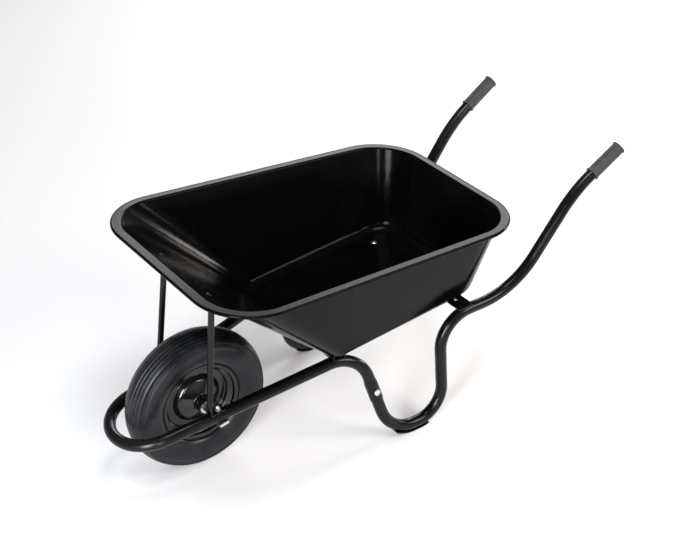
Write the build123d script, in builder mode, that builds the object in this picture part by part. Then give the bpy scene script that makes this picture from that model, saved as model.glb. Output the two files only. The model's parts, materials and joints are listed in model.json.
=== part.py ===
from build123d import *
import os
from math import asin, atan, atan2, cos, hypot, pi, sin, sqrt, tan

# Builder's wheelbarrow. Millimetres, +X forward to the wheel, +Y left, +Z up, and the origin on the ground
# under the middle of the overall box.

# ---------------------------------------------------------------- driving dimensions
# Wheel
wheel_radius = 195.0
axle_x = 475.6
tyre_half_width = 48.0
tyre_widest_drop = 45.0
tyre_wall = 5.0
tread_half_width = 38.0
tread_drop = 12.0
tread_thickness = 10.0
bead_seat_radius = 101.6
bead_width = 8.5
bead_height = 8.5
inner_tube_slack = 2.5
inner_tube_section_radius = 36.0
inner_tube_skin = 1.8
rim_sheet = 1.8
rim_bend = 3.0
rim_flange_radius = 109.0
rim_half_width = 33.0
rim_flange_flare = 1.5
rim_seat_inner = 22.0
rim_well_radius = 88.0
rim_well_half_width = 14.0
dome_foot_radius = 68.0
dome_shoulder_radius = 58.0
dome_shoulder_height = 16.0
dome_height = 31.0
dome_bend = 14.0
collar_length = 9.0
hub_radius = 21.0
hub_bore = 14.0
hub_half_length = 57.0
bearing_radius = 17.5
bearing_width = 11.0
axle_radius = 8.0
valve_radius = 4.0
valve_offset = 8.0
valve_angle = -60.0
valve_bottom = 74.0
valve_cap_radius = 5.2
valve_cap_length = 11.0
valve_cap_wall = 1.5

# Axle ends and spacers
axle_flat_thickness = 8.0
axle_flat_width = 26.0
axle_flat_length = 34.0
spacer_wall = 3.0

# Frame tube
tube_od = 32.0
tube_wall = 1.6
rail_half_gap_at_axle = 126.5
loop_front_gap = 24.0
shoulder_x = 93.0
shoulder_half_gap = 185.5
shoulder_bend = 95.0
leg_half_gap = 236.8
leg_front_x = 25.0
leg_rear_x = -154.8
leg_front_bend = 101.0
leg_rear_bend = 79.5
leg_top_x = -133.5
leg_top_bend = 93.0
handle_foot_x = -377.5
handle_foot_rise = 9.0
handle_foot_bend = 233.0
handle_knee_x = -568.7
handle_knee_z = 573.4
handle_knee_bend = 354.0
handle_end_x = -715.0
handle_end_z = 663.5
handle_end_half_gap = 262.5
joint_drop = 160.0
joint_overlap = 52.0
joint_bolt_rise = 27.0
joint_head_radius = 7.0
joint_crown_radius = 5.0
joint_head_height = 4.0
joint_socket_flats = 5.0
joint_socket_depth = 2.4
swage = 1.9
swage_taper = 14.0

# Feet
shoe_thickness = 3.0
shoe_width = 26.0
shoe_bite = 1.0
shoe_front_wrap = 32.0
shoe_rear_wrap = 18.0

# Grips
grip_length = 106.0
grip_wall = 1.9
grip_lip_height = 2.1
grip_lip_width = 4.0
grip_end_wall = 4.0

# Tray
sheet = 1.5
rim_front_x = 563.5
rim_rear_x = -381.0
rim_front_z = 618.4
rim_rear_z = 564.7
rim_front_half = 341.6
rim_rear_half = 302.4
rim_corner_radius = 153.0
flange_width = 25.7
bead_radius = 4.8
bead_rise = 0.4
lip_radius = 4.0
floor_front_x = 181.0
floor_rear_x = -302.0
floor_front_z = 304.3
floor_rear_z = 349.6
floor_half = 213.0
floor_front_corner_radius = 42.0
floor_rear_corner_radius = 92.0
fold_radius = 32.0

# Cross members
member_x = 157.5
member_width = 35.0
member_height = 18.0
member_wall = 2.5
member_overhang = 6.0
rail_seat_gap = 14.5
strap_x = -210.0
strap_width = 46.0
strap_thickness = 3.0
strap_saddle = 1.0
strap_corner_radius = 3.0
strap_hole_half_gap = 208.0
strap_hole_radius = 4.0

# Stays
stay_radius = 8.0
stay_flat_width = 24.0
stay_flat_thickness = 4.0
stay_flare_length = 30.0
stay_bolt_x = 480.0
stay_bolt_half_gap = 112.0
stay_top_back = 11.0
stay_foot_forward = 25.0
stay_tab_end = 14.0

# Fasteners
floor_bolt_half_gap = 155.0
bolt_radius = 4.0
cup_head_radius = 8.5
cup_head_height = 3.2
nut_flats = 13.0
nut_height = 6.5
washer_radius = 8.5
hex_head_height = 5.3
washer_thickness = 1.6
thread_end = 3.0

# Clearances
hole_clearance = 0.25
joint_clearance = 0.10
running_clearance = 0.05
end_clearance = 0.3

# ---------------------------------------------------------------- worked out from them
tube_radius = tube_od / 2
grip_radius = tube_radius + grip_wall
grip_lip_radius = grip_radius + grip_lip_height
spacer_radius = axle_radius + spacer_wall
tyre_widest_radius = wheel_radius - tyre_widest_drop
inner_tube_ring_radius = wheel_radius - tread_thickness - inner_tube_slack - inner_tube_section_radius
sleeve_radius = tube_radius + swage
bolt_hole = bolt_radius + hole_clearance
nut_bore = bolt_radius + running_clearance
leg_bolt_grip = 2 * sleeve_radius
leg_bolt_end = -leg_bolt_grip - washer_thickness - nut_height - thread_end
axle_bolt_stack = stay_flat_thickness + washer_thickness
axle_grip = tube_od + axle_flat_thickness
flat_start = rail_half_gap_at_axle - axle_flat_length / 2
SIDES = {"left": 1, "right": -1}
os.makedirs("parts", exist_ok=True)


def save(piece, name):
    """Label a finished piece and write it as one STEP file."""
    piece.part.label = name
    export_step(piece.part, f"parts/{name}.step")


# Tray planes: local x runs forward along the slope, local z is the upward normal
rim_rise = atan2(rim_front_z - rim_rear_z, rim_front_x - rim_rear_x)
floor_rise = atan2(floor_front_z - floor_rear_z, floor_front_x - floor_rear_x)
rim_forward = Vector(cos(rim_rise), 0, sin(rim_rise))
rim_plane = Plane((rim_rear_x, 0, rim_rear_z), rim_forward, rim_forward.rotate(Axis.Y, -90))
floor_forward = Vector(cos(floor_rise), 0, sin(floor_rise))
floor_plane = Plane((floor_rear_x, 0, floor_rear_z), floor_forward, floor_forward.rotate(Axis.Y, -90))
rim_length = hypot(rim_front_x - rim_rear_x, rim_front_z - rim_rear_z)
floor_length = hypot(floor_front_x - floor_rear_x, floor_front_z - floor_rear_z)


def floor_top(x):
    """Height of the floor sheet's upper face at a station."""
    return floor_front_z + (x - floor_front_x) * tan(floor_rise)


def floor_underside(x):
    """Height of the floor sheet's lower face at a station."""
    return floor_top(x) - sheet / cos(floor_rise)


# Front wall: the line from the floor's front fold to the opening's front edge
wall_top = rim_plane.from_local_coords(Vector(rim_length - flange_width, 0, 0))
wall_run = wall_top.X - floor_front_x
wall_rise = wall_top.Z - floor_front_z
wall_slope = atan2(wall_rise, wall_run)
wall_normal = Vector(-sin(wall_slope), 0, cos(wall_slope))


def wall_height(x):
    """Height of the front wall's inner face at a station."""
    return floor_front_z + (x - floor_front_x) * tan(wall_slope)


# Rail plane: local x runs forward and down along the two rails, local z is the rails' upward normal
rail_seat = Vector(member_x, 0, floor_underside(member_x) - rail_seat_gap - tube_radius)
axle_centre = Vector(axle_x, 0, wheel_radius)
axle_axis = Axis(axle_centre, (0, 1, 0))
wheel_plane = Plane(axle_centre, x_dir=(1, 0, 0), z_dir=(0, 1, 0))
wheel_section = Plane(axle_centre, x_dir=(0, 1, 0), z_dir=(1, 0, 0))
axle_to_rail = axle_flat_thickness / 2 + tube_radius
seat_to_axle = hypot(axle_centre.X - rail_seat.X, rail_seat.Z - axle_centre.Z)
seat_fall = atan2(rail_seat.Z - axle_centre.Z, axle_centre.X - rail_seat.X)
rail_fall = seat_fall - asin(axle_to_rail / seat_to_axle)
rail_normal = Vector(sin(rail_fall), 0, cos(rail_fall))
rail_plane = Plane(rail_seat, (cos(rail_fall), 0, -sin(rail_fall)), rail_normal)
axle_u = seat_to_axle * cos(asin(axle_to_rail / seat_to_axle))
shoulder_u = (shoulder_x - rail_seat.X) / cos(rail_fall)

# The loop round the wheel is tangent to both rails
rail_spread = atan((shoulder_half_gap - rail_half_gap_at_axle) / (axle_u - shoulder_u))
loop_front_u = axle_u + wheel_radius + loop_front_gap + tube_radius
loop_centre_u = (
    loop_front_u - cos(rail_spread) * (rail_half_gap_at_axle + tan(rail_spread) * axle_u)
) / (1 - sin(rail_spread))
loop_radius = loop_front_u - loop_centre_u


def on_rails(u, v, w=0.0):
    """A point given in the rail plane, as a point of the whole barrow."""
    return rail_plane.from_local_coords(Vector(u, v, w))


# Legs and handles
foot_z = shoe_thickness + tube_radius
strap_station = (leg_top_x - strap_x) / (leg_top_x - handle_foot_x)
leg_top_z = (
    floor_underside(strap_x) - strap_thickness - tube_radius + strap_saddle - handle_foot_rise * strap_station
)
handle_spread = (handle_end_half_gap - leg_half_gap) / (leg_rear_x - handle_end_x)


def handle_half_gap(x):
    """Half the distance between the handles at a station behind the legs."""
    return leg_half_gap + (leg_rear_x - x) * handle_spread


def leg_points(side):
    """The corners of one leg and handle, from the shoulder to the end of the grip."""
    return [
        on_rails(shoulder_u, side * shoulder_half_gap),
        Vector(leg_front_x, side * leg_half_gap, foot_z),
        Vector(leg_rear_x, side * leg_half_gap, foot_z),
        Vector(leg_top_x, side * leg_half_gap, leg_top_z),
        Vector(handle_foot_x, side * handle_half_gap(handle_foot_x), leg_top_z + handle_foot_rise),
        Vector(handle_knee_x, side * handle_half_gap(handle_knee_x), handle_knee_z),
        Vector(handle_end_x, side * handle_end_half_gap, handle_end_z),
    ]


def joint_plane(side):
    """Plane across the front upright where the rail tube ends, facing up the upright."""
    shoulder, foot = leg_points(side)[:2]
    upward = (shoulder - foot).normalized()
    return Plane(origin=shoulder - upward * joint_drop, x_dir=(0, 1, 0), z_dir=upward)


def grip_plane(side):
    """Plane at the grip's outer end, facing along the handle towards the tray."""
    knee, end = leg_points(side)[-2:]
    return Plane(origin=end, x_dir=(0, 1, 0), z_dir=(knee - end).normalized())


def axle_bolt_plane(side):
    """Plane on top of the rail over the axle's flattened end, facing up."""
    return Plane(on_rails(axle_u, side * rail_half_gap_at_axle, tube_radius), rail_plane.x_dir, rail_normal)


def wall_bolt_plane(side):
    """Plane on the front wall's inner face at a stay bolt, facing into the tray."""
    spot = Vector(stay_bolt_x, side * stay_bolt_half_gap, wall_height(stay_bolt_x))
    return Plane(spot, (cos(wall_slope), 0, sin(wall_slope)), wall_normal)


def floor_bolt_plane(side):
    """Plane on the floor's upper face at a strap bolt, facing up."""
    spot = Vector(strap_x, side * floor_bolt_half_gap, floor_top(strap_x))
    return Plane(spot, floor_plane.x_dir, floor_plane.z_dir)


def leg_bolt_plane(side):
    """Plane on the outside of the rail tube's sleeve, facing outwards across the upright."""
    seat = joint_plane(side)
    outward = Vector(0, side, 0) - seat.z_dir * (seat.z_dir.Y * side)
    outward = outward.normalized()
    centre = seat.origin + seat.z_dir * joint_bolt_rise
    return Plane(centre + outward * (tube_radius + swage), seat.z_dir, outward)


# ---------------------------------------------------------------- shared shapes
def rounded_quad(front, rear, front_half, rear_half, front_radius, rear_radius):
    """Four-sided outline with rounded corners, wider or narrower at the front."""
    Polygon((front, front_half), (rear, rear_half), (rear, -rear_half), (front, -front_half), align=None)
    fillet(vertices().group_by(Axis.X)[-1], front_radius)
    fillet(vertices().group_by(Axis.X)[0], rear_radius)


def rod(plane, radius, start, end, mode=Mode.ADD):
    """Round bar along a plane's normal from one height to another."""
    with BuildSketch(plane.offset(start)) as section:
        Circle(radius)
    extrude(section.sketch, amount=end - start, mode=mode)


def taper_rod(plane, start, end, start_radius, end_radius, mode=Mode.ADD):
    """Round taper along a plane's normal from one height to another."""
    with BuildSketch(plane.offset(start)) as near:
        Circle(start_radius)
    with BuildSketch(plane.offset(end)) as far:
        Circle(end_radius)
    loft([near.sketch, far.sketch], mode=mode)


def hex_block(plane, flats, bore, start, height):
    """Hexagonal block standing on a face, with a round bore unless the bore is zero."""
    with BuildSketch(plane.offset(start)) as section:
        RegularPolygon(radius=flats / 2, side_count=6, major_radius=False)
        if bore > 0:
            Circle(bore, mode=Mode.SUBTRACT)
    extrude(section.sketch, amount=height)


def washer(plane, outer, inner, start, height):
    """Flat ring standing on a face."""
    with BuildSketch(plane.offset(start)) as section:
        Circle(outer)
        Circle(inner, mode=Mode.SUBTRACT)
    extrude(section.sketch, amount=height)


# ---------------------------------------------------------------- front loop and its two rails
rail_end_u = loop_centre_u + loop_radius * sin(rail_spread)
rail_end_gap = loop_radius * cos(rail_spread)
rail_ends = {side: on_rails(rail_end_u, side * rail_end_gap) for side in SIDES.values()}
with BuildLine() as loop_path:
    FilletPolyline(joint_plane(1).origin, leg_points(1)[0], rail_ends[1], radius=shoulder_bend)
    ThreePointArc(rail_ends[1], on_rails(loop_front_u, 0), rail_ends[-1])
    FilletPolyline(rail_ends[-1], leg_points(-1)[0], joint_plane(-1).origin, radius=shoulder_bend)

with BuildPart() as loop_envelope:
    with BuildSketch(joint_plane(1)):
        Circle(tube_radius)
    sweep(path=loop_path.wires()[0])

with BuildPart() as front_loop:
    with BuildSketch(joint_plane(1)):
        Circle(tube_radius)
        Circle(tube_radius - tube_wall, mode=Mode.SUBTRACT)
    sweep(path=loop_path.wires()[0])
    # Each end of the tube is swaged out into a sleeve for a leg
    for side in SIDES.values():
        sleeve = joint_plane(side)
        sleeve_top = joint_overlap + end_clearance
        rod(sleeve, sleeve_radius, 0, sleeve_top)
        taper_rod(sleeve, sleeve_top, sleeve_top + swage_taper, sleeve_radius, tube_radius)
        rod(sleeve, tube_radius + joint_clearance, 0, sleeve_top, Mode.SUBTRACT)
        taper_rod(
            sleeve, sleeve_top, sleeve_top + swage_taper,
            tube_radius + joint_clearance, tube_radius - tube_wall, Mode.SUBTRACT,
        )
        rod(leg_bolt_plane(side), bolt_hole, -leg_bolt_grip, 0, Mode.SUBTRACT)
        rod(axle_bolt_plane(side), bolt_hole, -tube_od, 0, Mode.SUBTRACT)
save(front_loop, "front_loop")

# ---------------------------------------------------------------- legs with their handles
leg_envelopes = {}
for side_name, side in SIDES.items():
    seat = joint_plane(side)
    leg_end = Plane(seat.origin + seat.z_dir * joint_overlap, x_dir=(0, 1, 0), z_dir=-seat.z_dir)
    grip_seat = grip_plane(side)
    with BuildLine() as leg_path:
        FilletPolyline(
            leg_end.origin,
            *leg_points(side)[1:6],
            grip_seat.origin + grip_seat.z_dir * (grip_end_wall + end_clearance),
            radius=[leg_front_bend, leg_rear_bend, leg_top_bend, handle_foot_bend, handle_knee_bend],
        )
    with BuildPart() as leg_envelope:
        with BuildSketch(leg_end):
            Circle(tube_radius)
        sweep(path=leg_path.wires()[0])
    leg_envelopes[side] = leg_envelope.part
    with BuildPart() as leg_handle:
        with BuildSketch(leg_end):
            Circle(tube_radius)
            Circle(tube_radius - tube_wall, mode=Mode.SUBTRACT)
        sweep(path=leg_path.wires()[0])
        rod(leg_bolt_plane(side), bolt_hole, -leg_bolt_grip, 0, Mode.SUBTRACT)
    save(leg_handle, f"leg_handle_{side_name}")

# ---------------------------------------------------------------- leg joint bolts
with BuildPart() as leg_joint_bolts:
    for side in SIDES.values():
        seat = leg_bolt_plane(side)
        head_top = washer_thickness + joint_head_height
        taper_rod(seat, washer_thickness, head_top, joint_head_radius, joint_crown_radius)
        rod(seat, bolt_radius, leg_bolt_end, washer_thickness)
        with BuildSketch(seat.offset(head_top)):
            RegularPolygon(radius=joint_socket_flats / 2, side_count=6, major_radius=False)
        extrude(amount=-joint_socket_depth, mode=Mode.SUBTRACT)
save(leg_joint_bolts, "leg_joint_bolts")

with BuildPart() as leg_joint_washers:
    for side in SIDES.values():
        seat = leg_bolt_plane(side)
        washer(seat, washer_radius, bolt_hole, 0, washer_thickness)
        washer(seat, washer_radius, bolt_hole, -leg_bolt_grip, -washer_thickness)
save(leg_joint_washers, "leg_joint_washers")

with BuildPart() as leg_joint_nuts:
    for side in SIDES.values():
        seat = leg_bolt_plane(side)
        hex_block(seat, nut_flats, nut_bore, -leg_bolt_grip - washer_thickness, -nut_height)
save(leg_joint_nuts, "leg_joint_nuts")

# ---------------------------------------------------------------- wear shoes under the legs
leg_front_corner, leg_rear_corner = leg_points(1)[1:3]
front_turn = pi / 2 - atan2(shoulder_x - leg_front_x, leg_points(1)[0].Z - foot_z)
rear_turn = pi / 2 + atan2(leg_top_x - leg_rear_x, leg_top_z - foot_z)
front_centre = (leg_front_x - leg_front_bend * tan(front_turn / 2), foot_z + leg_front_bend)
rear_centre = (leg_rear_x + leg_rear_bend * tan(rear_turn / 2), foot_z + leg_rear_bend)
for side_name, side in SIDES.items():
    with BuildPart() as foot_shoe:
        with BuildSketch(Plane((0, side * leg_half_gap, 0), x_dir=(1, 0, 0), z_dir=(0, -1, 0))):
            with BuildLine():
                outer = tube_radius + shoe_thickness
                inner = tube_radius - shoe_bite
                front_sole = CenterArc(front_centre, leg_front_bend + outer, -90, shoe_front_wrap)
                rear_sole = CenterArc(rear_centre, leg_rear_bend + outer, -90, -shoe_rear_wrap)
                front_top = CenterArc(front_centre, leg_front_bend + inner, -90, shoe_front_wrap)
                rear_top = CenterArc(rear_centre, leg_rear_bend + inner, -90, -shoe_rear_wrap)
                Line(front_sole @ 0, rear_sole @ 0)
                Line(front_top @ 0, rear_top @ 0)
                Line(front_sole @ 1, front_top @ 1)
                Line(rear_sole @ 1, rear_top @ 1)
            make_face()
        extrude(amount=shoe_width / 2, both=True)
        add(leg_envelopes[side], mode=Mode.SUBTRACT)
    save(foot_shoe, f"foot_shoe_{side_name}")

# ---------------------------------------------------------------- hand grips
for side_name, side in SIDES.items():
    seat = grip_plane(side)
    with BuildPart() as grip:
        rod(seat, grip_radius, 0, grip_length)
        rod(seat, grip_lip_radius, 0, grip_lip_width)
        rod(seat, grip_lip_radius, grip_length - grip_lip_width, grip_length)
        rod(seat, tube_radius + running_clearance, grip_end_wall, grip_length, Mode.SUBTRACT)
    save(grip, f"grip_{side_name}")

# ---------------------------------------------------------------- tray
front_lean = wall_slope - floor_rise
rear_lean = atan2(rim_rear_z - floor_rear_z, floor_rear_x - rim_rear_x - flange_width)
side_lean = atan2(rim_rear_z - floor_rear_z, rim_rear_half - flange_width - floor_half)


def opening(grow):
    """The tray's opening in the rim plane, grown by a thickness through its walls."""
    rounded_quad(
        rim_length - flange_width + grow / sin(front_lean),
        flange_width - grow / sin(rear_lean),
        rim_front_half - flange_width + grow / sin(side_lean),
        rim_rear_half - flange_width + grow / sin(side_lean),
        rim_corner_radius - flange_width + grow,
        rim_corner_radius - flange_width + grow,
    )


def basin(grow):
    """The tray's hollow, grown by a thickness through its floor and walls."""
    with BuildPart() as body:
        with BuildSketch(floor_plane.offset(-grow)):
            rounded_quad(
                floor_length + grow * tan(front_lean / 2),
                -grow * tan(rear_lean / 2),
                floor_half + grow * tan(side_lean / 2),
                floor_half + grow * tan(side_lean / 2),
                floor_front_corner_radius + grow,
                floor_rear_corner_radius + grow,
            )
        with BuildSketch(rim_plane):
            opening(grow)
        loft(ruled=True)
        fillet(body.faces().sort_by(Axis.Z)[0].edges(), fold_radius + grow)
    return body.part


outer_basin = basin(sheet)
inner_basin = basin(0)
bead_corners = (
    (rim_length - bead_radius, rim_front_half - bead_radius),
    (bead_radius, rim_rear_half - bead_radius),
    (bead_radius, bead_radius - rim_rear_half),
    (rim_length - bead_radius, bead_radius - rim_front_half),
)
with BuildLine(rim_plane.offset(bead_rise - bead_radius)) as bead_path:
    FilletPolyline(*bead_corners, radius=rim_corner_radius - bead_radius, close=True)

with BuildPart() as tray:
    add(outer_basin)
    with BuildSketch(rim_plane):
        with BuildLine():
            FilletPolyline(*bead_corners, radius=rim_corner_radius - bead_radius, close=True)
        make_face()
    extrude(amount=-sheet)
    add(inner_basin, mode=Mode.SUBTRACT)
    under_flange = tray.faces().filter_by(lambda face: face.normal_at().Z < -0.99).sort_by(Axis.Z)[-1]
    fillet(under_flange.inner_wires()[0].edges(), lip_radius)
    top = tray.faces().filter_by(lambda face: face.normal_at().Z > 0.99).sort_by(Axis.Z)[-1]
    fillet(top.inner_wires()[0].edges(), lip_radius + sheet)
    with BuildSketch(Plane(origin=bead_path.wires()[0] @ 0, z_dir=bead_path.wires()[0] % 0)):
        Circle(bead_radius)
    sweep(path=bead_path.wires()[0])
    for side in SIDES.values():
        rod(floor_bolt_plane(side), bolt_hole, -2 * sheet, sheet, Mode.SUBTRACT)
        rod(wall_bolt_plane(side), bolt_hole, -2 * sheet, sheet, Mode.SUBTRACT)
save(tray, "tray")

# ---------------------------------------------------------------- cross strap and cross channel
under_floor = floor_plane.offset(-sheet)
strap_u = (strap_x - floor_rear_x) / cos(floor_rise)
strap_half_length = leg_half_gap + tube_radius
with BuildPart() as rear_strap:
    with BuildSketch(under_floor):
        with Locations((strap_u, 0)):
            Rectangle(strap_width, 2 * strap_half_length)
    extrude(amount=-strap_thickness)
    for side in SIDES.values():
        add(leg_envelopes[side], mode=Mode.SUBTRACT)
        rod(floor_bolt_plane(side), bolt_hole, -sheet - 2 * strap_thickness, 0, Mode.SUBTRACT)
        with BuildSketch(under_floor):
            with Locations((strap_u, side * strap_hole_half_gap)):
                Circle(strap_hole_radius)
        extrude(amount=-strap_thickness, mode=Mode.SUBTRACT)
    fillet(rear_strap.edges().filter_by(Axis.Z, tolerance=8).group_by(Axis.Y)[-1], strap_corner_radius)
    fillet(rear_strap.edges().filter_by(Axis.Z, tolerance=8).group_by(Axis.Y)[0], strap_corner_radius)
save(rear_strap, "rear_strap")

member_u = (member_x - floor_rear_x) / cos(floor_rise)
member_half_length = shoulder_half_gap + member_overhang
with BuildPart() as front_member:
    with BuildSketch(under_floor):
        with Locations((member_u, 0)):
            Rectangle(member_width, 2 * member_half_length)
    extrude(amount=-member_height)
    with BuildSketch(under_floor.offset(-member_wall)):
        with Locations((member_u, 0)):
            Rectangle(member_width - 2 * member_wall, 2 * member_half_length)
    extrude(amount=-member_height, mode=Mode.SUBTRACT)
    add(loop_envelope.part, mode=Mode.SUBTRACT)
save(front_member, "front_member")

# ---------------------------------------------------------------- tray bolts and nuts
tray_bolt_seats = {
    "floor": ([floor_bolt_plane(side) for side in SIDES.values()], sheet + strap_thickness),
    "front": ([wall_bolt_plane(side) for side in SIDES.values()], sheet + stay_flat_thickness),
}
for place, (seats, gripped) in tray_bolt_seats.items():
    with BuildPart() as tray_bolts:
        for seat in seats:
            taper_rod(seat, 0, cup_head_height, cup_head_radius, cup_head_radius - cup_head_height)
            rod(seat, bolt_radius, -gripped - nut_height - thread_end, 0)
    save(tray_bolts, f"tray_{place}_bolts")
    with BuildPart() as tray_nuts:
        for seat in seats:
            hex_block(seat, nut_flats, nut_bore, -gripped, -nut_height)
    save(tray_nuts, f"tray_{place}_nuts")

# ---------------------------------------------------------------- stays from the rails to the tray
for side_name, side in SIDES.items():
    rail_seat_plane = axle_bolt_plane(side)
    wall_seat = wall_bolt_plane(side).offset(-sheet - stay_flat_thickness)
    foot = rail_seat_plane.from_local_coords(Vector(stay_foot_forward, 0, stay_flat_thickness / 2))
    head = wall_seat.from_local_coords(Vector(-stay_top_back, 0, stay_flat_thickness / 2))
    upward = (head - foot).normalized()
    across = Vector(0, 1, 0) - upward * upward.Y
    with BuildPart() as stay:
        stay_line = Plane(origin=foot, x_dir=across, z_dir=upward)
        stay_length = (head - foot).length
        rod(stay_line, stay_radius, stay_flare_length, stay_length - stay_flare_length)
        for start, end in ((stay_flare_length, 0), (stay_length - stay_flare_length, stay_length)):
            with BuildSketch(stay_line.offset(start)):
                Circle(stay_radius)
            with BuildSketch(stay_line.offset(end)):
                Rectangle(stay_flat_width, stay_flat_thickness)
            loft()
        with BuildSketch(rail_seat_plane):
            with Locations(((stay_foot_forward - stay_tab_end) / 2, 0)):
                Rectangle(stay_foot_forward + stay_tab_end, stay_flat_width)
        extrude(amount=stay_flat_thickness)
        rod(rail_seat_plane, bolt_hole, 0, stay_flat_thickness, Mode.SUBTRACT)
        with BuildSketch(wall_seat):
            with Locations(((stay_tab_end - stay_top_back) / 2, 0)):
                Rectangle(stay_top_back + stay_tab_end, stay_flat_width)
        extrude(amount=stay_flat_thickness)
        rod(wall_seat, bolt_hole, 0, stay_flat_thickness, Mode.SUBTRACT)
    save(stay, f"stay_{side_name}")

# ---------------------------------------------------------------- axle, spacers and axle bolts
with BuildPart() as axle:
    rod(Plane(axle_centre, (1, 0, 0), (0, 1, 0)), axle_radius, -flat_start, flat_start)
    for side in SIDES.values():
        flat_middle = axle_centre + Vector(0, side * rail_half_gap_at_axle, 0)
        with BuildSketch(Plane(flat_middle, rail_plane.x_dir, rail_normal)):
            Rectangle(axle_flat_width, axle_flat_length)
        extrude(amount=axle_flat_thickness / 2, both=True)
        rod(axle_bolt_plane(side), bolt_hole, -tube_od - 2 * axle_flat_thickness, 0, Mode.SUBTRACT)
save(axle, "axle")

for side_name, side in SIDES.items():
    with BuildPart() as axle_spacer:
        seat = Plane(axle_centre, (1, 0, 0), (0, side, 0))
        washer(seat, spacer_radius, axle_radius + running_clearance, hub_half_length + end_clearance,
               flat_start - hub_half_length - end_clearance)
    save(axle_spacer, f"axle_spacer_{side_name}")

with BuildPart() as axle_bolts:
    for side in SIDES.values():
        seat = axle_bolt_plane(side)
        hex_block(seat, nut_flats, 0, -axle_grip, -hex_head_height)
        rod(seat, bolt_radius, -axle_grip, axle_bolt_stack + nut_height + thread_end)
save(axle_bolts, "axle_bolts")

with BuildPart() as axle_washers:
    for side in SIDES.values():
        washer(axle_bolt_plane(side), washer_radius, bolt_hole, stay_flat_thickness, washer_thickness)
save(axle_washers, "axle_washers")

with BuildPart() as axle_nuts:
    for side in SIDES.values():
        hex_block(axle_bolt_plane(side), nut_flats, nut_bore, axle_bolt_stack, nut_height)
save(axle_nuts, "axle_nuts")

# ---------------------------------------------------------------- wheel
def hub_end(side):
    """Plane across the axle at the middle of the wheel, facing one side."""
    return Plane(axle_centre, x_dir=(1, 0, 0), z_dir=(0, side, 0))


bead_outer = rim_half_width - rim_flange_flare - rim_sheet - end_clearance
bead_inner = bead_outer - bead_width
bead_foot = bead_seat_radius + end_clearance
bead_top = bead_foot + bead_height
shoulder_radius = wheel_radius - tread_drop
with BuildPart() as tyre:
    with BuildSketch(wheel_section):
        with BuildLine():
            ThreePointArc(
                (-tread_half_width, shoulder_radius), (0, wheel_radius), (tread_half_width, shoulder_radius)
            )
            for side in SIDES.values():
                ThreePointArc(
                    (side * tread_half_width, shoulder_radius),
                    (side * tyre_half_width, tyre_widest_radius),
                    (side * bead_outer, bead_top),
                )
                Polyline(
                    (side * bead_outer, bead_top),
                    (side * bead_outer, bead_foot),
                    (side * bead_inner, bead_foot),
                    (side * bead_inner, bead_top),
                )
                ThreePointArc(
                    (side * bead_inner, bead_top),
                    (side * (tyre_half_width - tyre_wall), tyre_widest_radius),
                    (side * (tread_half_width - tyre_wall), shoulder_radius - tyre_wall),
                )
            ThreePointArc(
                (-(tread_half_width - tyre_wall), shoulder_radius - tyre_wall),
                (0, wheel_radius - tread_thickness),
                (tread_half_width - tyre_wall, shoulder_radius - tyre_wall),
            )
        make_face()
    revolve(axis=axle_axis)
save(tyre, "tyre")

# The valve stands in the rim's well on the right-hand side
valve_axis = Vector(cos(valve_angle * pi / 180), 0, sin(valve_angle * pi / 180))
valve_plane = Plane(axle_centre - Vector(0, valve_offset, 0), x_dir=(0, 1, 0), z_dir=valve_axis)
valve_top = inner_tube_ring_radius - sqrt(inner_tube_section_radius**2 - valve_offset**2) + inner_tube_skin
with BuildPart() as inner_tube:
    with BuildSketch(wheel_section):
        with Locations((0, inner_tube_ring_radius)):
            Circle(inner_tube_section_radius)
            Circle(inner_tube_section_radius - inner_tube_skin, mode=Mode.SUBTRACT)
    revolve(axis=axle_axis)
    rod(valve_plane, valve_radius + running_clearance, rim_well_radius, inner_tube_ring_radius, Mode.SUBTRACT)
save(inner_tube, "inner_tube")

disc_face = rim_sheet + end_clearance / 2
collar_radius = hub_radius + running_clearance + rim_sheet
for side_name, side in SIDES.items():
    with BuildPart() as rim_half:
        with BuildSketch(wheel_section):
            with BuildLine():
                FilletPolyline(
                    (side * rim_half_width, rim_flange_radius),
                    (side * (rim_half_width - rim_flange_flare), bead_seat_radius - rim_sheet),
                    (side * rim_seat_inner, bead_seat_radius - rim_sheet),
                    (side * rim_well_half_width, rim_well_radius),
                    (side * disc_face, rim_well_radius),
                    (side * disc_face, dome_foot_radius),
                    (side * dome_shoulder_height, dome_shoulder_radius),
                    (side * dome_height, collar_radius),
                    (side * (dome_height + collar_length), collar_radius),
                    radius=[rim_bend, rim_bend, rim_bend, rim_bend, rim_bend, dome_bend, rim_bend],
                )
                offset(amount=rim_sheet, side=Side.RIGHT if side > 0 else Side.LEFT)
            make_face()
        revolve(axis=axle_axis)
        if side < 0:
            rod(valve_plane, valve_radius + hole_clearance, dome_foot_radius, bead_seat_radius, Mode.SUBTRACT)
    save(rim_half, f"rim_half_{side_name}")

with BuildPart() as valve_stem:
    rod(valve_plane, valve_radius, valve_bottom, valve_top)
save(valve_stem, "valve_stem")

valve_cap_top = valve_bottom - valve_cap_wall + valve_cap_length
with BuildPart() as valve_cap:
    rod(valve_plane, valve_cap_radius, valve_bottom - valve_cap_wall, valve_cap_top)
    rod(valve_plane, valve_radius + running_clearance, valve_bottom, valve_cap_top, Mode.SUBTRACT)
save(valve_cap, "valve_cap")

with BuildPart() as hub:
    rod(wheel_plane, hub_radius, -hub_half_length, hub_half_length)
    rod(wheel_plane, hub_bore, -hub_half_length, hub_half_length, Mode.SUBTRACT)
    for side in SIDES.values():
        rod(
            hub_end(side), bearing_radius + running_clearance,
            hub_half_length - bearing_width, hub_half_length, Mode.SUBTRACT,
        )
save(hub, "hub")

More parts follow.
